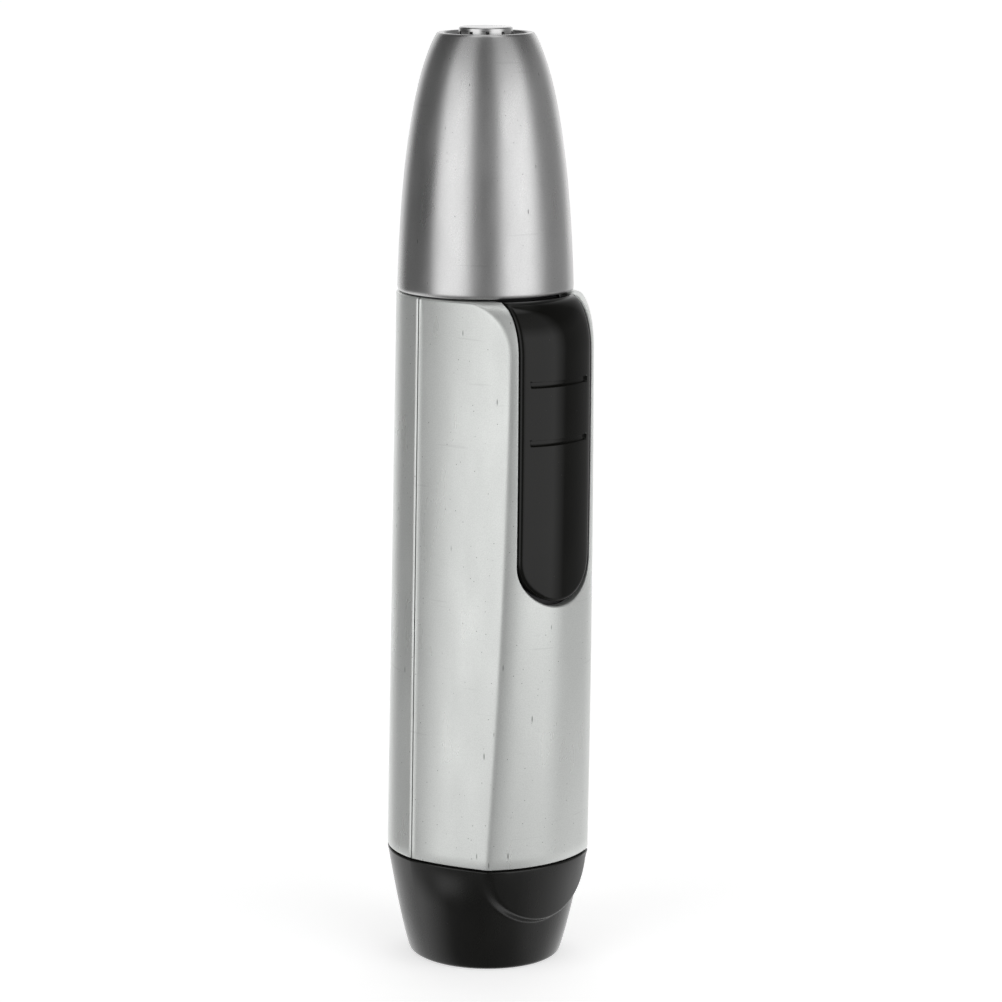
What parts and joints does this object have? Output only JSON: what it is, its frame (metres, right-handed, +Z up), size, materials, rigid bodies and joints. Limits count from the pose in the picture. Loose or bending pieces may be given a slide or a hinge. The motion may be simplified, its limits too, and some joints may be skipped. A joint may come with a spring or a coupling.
{
  "type": "nose hair trimmer",
  "caption": "Slim upright battery nose hair trimmer: tapered cap over a slotted cutter tube, two-part silver body, black thumb slider, black pull-off base.",
  "frame": {"origin": "centre of the base's flat foot, on the axis of the cap, cutter and motor", "axes": "+Z up along the cutter's axis, -Y towards the front, where the thumb slider is, +X to the right as seen from behind the back"},
  "size_m": [0.029, 0.0327, 0.1403],
  "materials": {
    "body_silver": "silver metallic paint with fine flake, satin",
    "cap_silver": "brighter silver metallic paint, satin",
    "gloss_black": "polished moulded plastic",
    "satin_black": "satin moulded plastic",
    "inner_black": "plain moulded plastic",
    "inner_grey": "plain moulded plastic",
    "stainless": "ground stainless steel",
    "motor_steel": "plated drawn steel",
    "dark_iron": "stacked laminations",
    "magnet": "sintered ferrite",
    "copper": "bare and enamelled copper",
    "brass": "stamped brass strip",
    "seal_rubber": "moulded rubber",
    "cell_jacket": "plain printed jacket with no marks"
  },
  "bodies": {
    "housing": {"front_shell": "body_silver", "rear_shell": "body_silver", "neck_ring": "inner_black", "motor_frame": "inner_grey", "switch_bed": "inner_black", "switch_contact_lower": "brass", "switch_contact_upper": "brass", "battery_tube": "inner_grey", "positive_contact": "brass", "negative_strip": "brass", "motor_can": "motor_steel", "motor_end_bell": "inner_black", "motor_lower_bush": "brass", "motor_upper_bush": "brass", "motor_magnet_left": "magnet", "motor_magnet_right": "magnet", "motor_brush_left": "copper", "motor_brush_right": "copper", "motor_terminal_left": "brass", "motor_terminal_right": "brass", "motor_screw_1": "stainless", "motor_screw_2": "stainless"},
    "slider": {"thumb_slider": "gloss_black", "slider_keeper": "inner_grey", "bridge_contact": "copper"},
    "rotor": {"motor_shaft": "stainless", "armature_core": "dark_iron", "winding_1": "copper", "winding_2": "copper", "winding_3": "copper", "commutator": "copper", "drive_coupling": "inner_grey", "blade_spring": "stainless"},
    "carriage": {"blade_carrier": "inner_grey", "rotary_blade": "stainless"},
    "head": {"head_collar": "inner_grey", "head_cone": "satin_black", "cutter_tube": "stainless"},
    "cap": {"protective_cap": "cap_silver"},
    "base": {"base_cap": "satin_black", "base_plug": "inner_black", "seal_ring": "seal_rubber", "negative_contact": "brass", "negative_spring": "stainless"},
    "cell": {"battery_can": "cell_jacket", "battery_negative_plate": "stainless", "battery_positive_cap": "stainless"}
  },
  "joints": [
    {"name": "cap_pull", "type": "slide", "parent": "housing", "child": "cap", "axis": [0, 0, 1], "range_m": [0, 0.06]},
    {"name": "head_twist", "type": "hinge", "parent": "housing", "child": "head", "pos_m": [0, 0, 0.1], "axis": [0, 0, 1], "range_deg": [0, 30]},
    {"name": "rotor_spin", "type": "hinge", "parent": "housing", "child": "rotor", "pos_m": [0, 0, 0.09], "axis": [0, 0, 1], "continuous": true},
    {"name": "blade_float", "type": "slide", "parent": "rotor", "child": "carriage", "axis": [0, 0, 1], "range_m": [-0.0008, 0], "stiffness_N_per_m": 300, "springref_m": 0.002, "deforming": ["blade_spring"]},
    {"name": "switch_slide", "type": "slide", "parent": "housing", "child": "slider", "axis": [0, 0, 1], "range_m": [0, 0.0035]},
    {"name": "base_pull", "type": "slide", "parent": "housing", "child": "base", "axis": [0, 0, -1], "range_m": [0, 0.07]},
    {"name": "cell_slide", "type": "slide", "parent": "housing", "child": "cell", "axis": [0, 0, -1], "range_m": [0, 0.049]}
  ],
  "couplings": [
    {"joint": "cell_slide", "follows": "base_pull", "ratio": 0.7}
  ]
}
